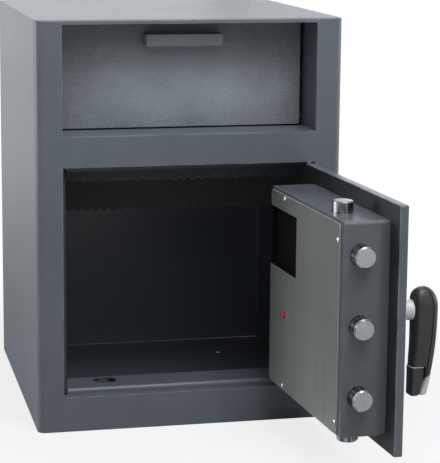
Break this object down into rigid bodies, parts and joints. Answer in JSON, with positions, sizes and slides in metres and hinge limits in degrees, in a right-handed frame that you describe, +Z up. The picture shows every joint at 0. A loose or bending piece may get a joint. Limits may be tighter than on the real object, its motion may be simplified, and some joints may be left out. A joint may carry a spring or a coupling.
{
  "type": "drop safe with deposit hopper",
  "caption": "Floor-standing drop safe: a tilting deposit hopper in a recess above a bolted, keypad-locked door, shown open, with toothed baffles inside.",
  "frame": {"origin": "middle of the underside of the cabinet, on the surface it stands on", "axes": "+Z up, the front with the door and hopper faces -Y, +X to the right as seen from the front, the hinge side"},
  "size_m": [0.4176, 0.6917, 0.5],
  "materials": {
    "body_paint": "satin graphite powder coat",
    "dark_paint": "satin dark powder coat",
    "panel_paint": "satin grey, lightly mottled",
    "cover_paint": "satin light grey",
    "bright_steel": "turned, plated",
    "zinc": "zinc plated",
    "satin_silver": "satin silver",
    "black_plastic": "fine matt",
    "red_plastic": "smooth",
    "keypad_rubber": "matt"
  },
  "bodies": {
    "safe_body": {"front_frame": "body_paint", "body_shell": "body_paint", "back_panel": "body_paint", "jamb_channel_left": "dark_paint", "jamb_channel_right": "dark_paint", "sill_channel": "body_paint", "header_channel": "dark_paint", "front_baffle": "dark_paint", "rear_baffle": "dark_paint", "recess_liner": "body_paint", "hopper_pin_left": "zinc", "hopper_pin_right": "zinc", "hinge_washer": "zinc"},
    "hopper": {"hopper_panel": "panel_paint", "hopper_tray": "dark_paint", "hopper_pull": "panel_paint"},
    "door": {"door_plate": "body_paint", "hinge_pin_top": "zinc", "hinge_pin_bottom": "zinc", "spindle_bush": "zinc", "lock_case": "body_paint", "cover_panel": "cover_paint", "cover_screw_1": "bright_steel", "cover_screw_2": "bright_steel", "cover_screw_3": "bright_steel", "cover_screw_4": "bright_steel", "battery_box": "black_plastic", "lock_body": "zinc", "reset_module": "black_plastic", "keypad_housing": "black_plastic", "keypad_membrane": "keypad_rubber"},
    "battery_lid": {"battery_lid": "black_plastic"},
    "reset_button": {"reset_button": "red_plastic"},
    "handle": {"handle_lever": "black_plastic", "handle_insert": "black_plastic", "handle_stem": "satin_silver", "spindle": "zinc", "cam_disc": "zinc"},
    "side_bolts": {"side_bolt_1": "bright_steel", "side_bolt_2": "bright_steel", "side_bolt_3": "bright_steel", "bolt_bar": "zinc", "drive_pin": "zinc"},
    "top_bolt": {"top_bolt": "bright_steel", "top_bolt_rod": "zinc", "top_rod_pin": "zinc"},
    "bottom_bolt": {"bottom_bolt": "bright_steel", "bottom_bolt_rod": "zinc", "bottom_rod_pin": "zinc"},
    "lock_plunger": {"lock_plunger": "bright_steel"}
  },
  "joints": [
    {"name": "door_hinge", "type": "hinge", "parent": "safe_body", "child": "door", "pos_m": [0.1492, -0.192, 0.18415], "axis": [0, 0, 1], "range_deg": [-93.6, 8]},
    {"name": "hopper_tilt", "type": "hinge", "parent": "safe_body", "child": "hopper", "pos_m": [0, -0.1255, 0.372], "axis": [1, 0, 0], "range_deg": [0, 48]},
    {"name": "handle_turn", "type": "hinge", "parent": "door", "child": "handle", "pos_m": [0.16871, -0.43045, 0.193], "axis": [0.998, 0.0628, 0], "range_deg": [0, 90]},
    {"name": "side_bolt_slide", "type": "slide", "parent": "door", "child": "side_bolts", "axis": [0.0628, -0.998, 0], "range_m": [0, 0.018]},
    {"name": "top_bolt_slide", "type": "slide", "parent": "door", "child": "top_bolt", "axis": [0, 0, 1], "range_m": [0, 0.018]},
    {"name": "bottom_bolt_slide", "type": "slide", "parent": "door", "child": "bottom_bolt", "axis": [0, 0, -1], "range_m": [0, 0.018]},
    {"name": "lock_plunger_slide", "type": "slide", "parent": "door", "child": "lock_plunger", "axis": [0, 0, 1], "range_m": [0, 0.008]},
    {"name": "battery_lid_hinge", "type": "hinge", "parent": "door", "child": "battery_lid", "pos_m": [0.10008, -0.23457, 0.24425], "axis": [0, 0, -1], "range_deg": [0, 95]},
    {"name": "reset_button_press", "type": "slide", "parent": "door", "child": "reset_button", "axis": [0.998, 0.0628, 0], "range_m": [0, 0.0015], "stiffness_N_per_m": 300, "springref_m": -0.001}
  ],
  "couplings": [
    {"joint": "side_bolt_slide", "follows": "handle_turn", "m_per_rad": 0.011459},
    {"joint": "top_bolt_slide", "follows": "handle_turn", "m_per_rad": 0.011459},
    {"joint": "bottom_bolt_slide", "follows": "handle_turn", "m_per_rad": 0.011459}
  ]
}
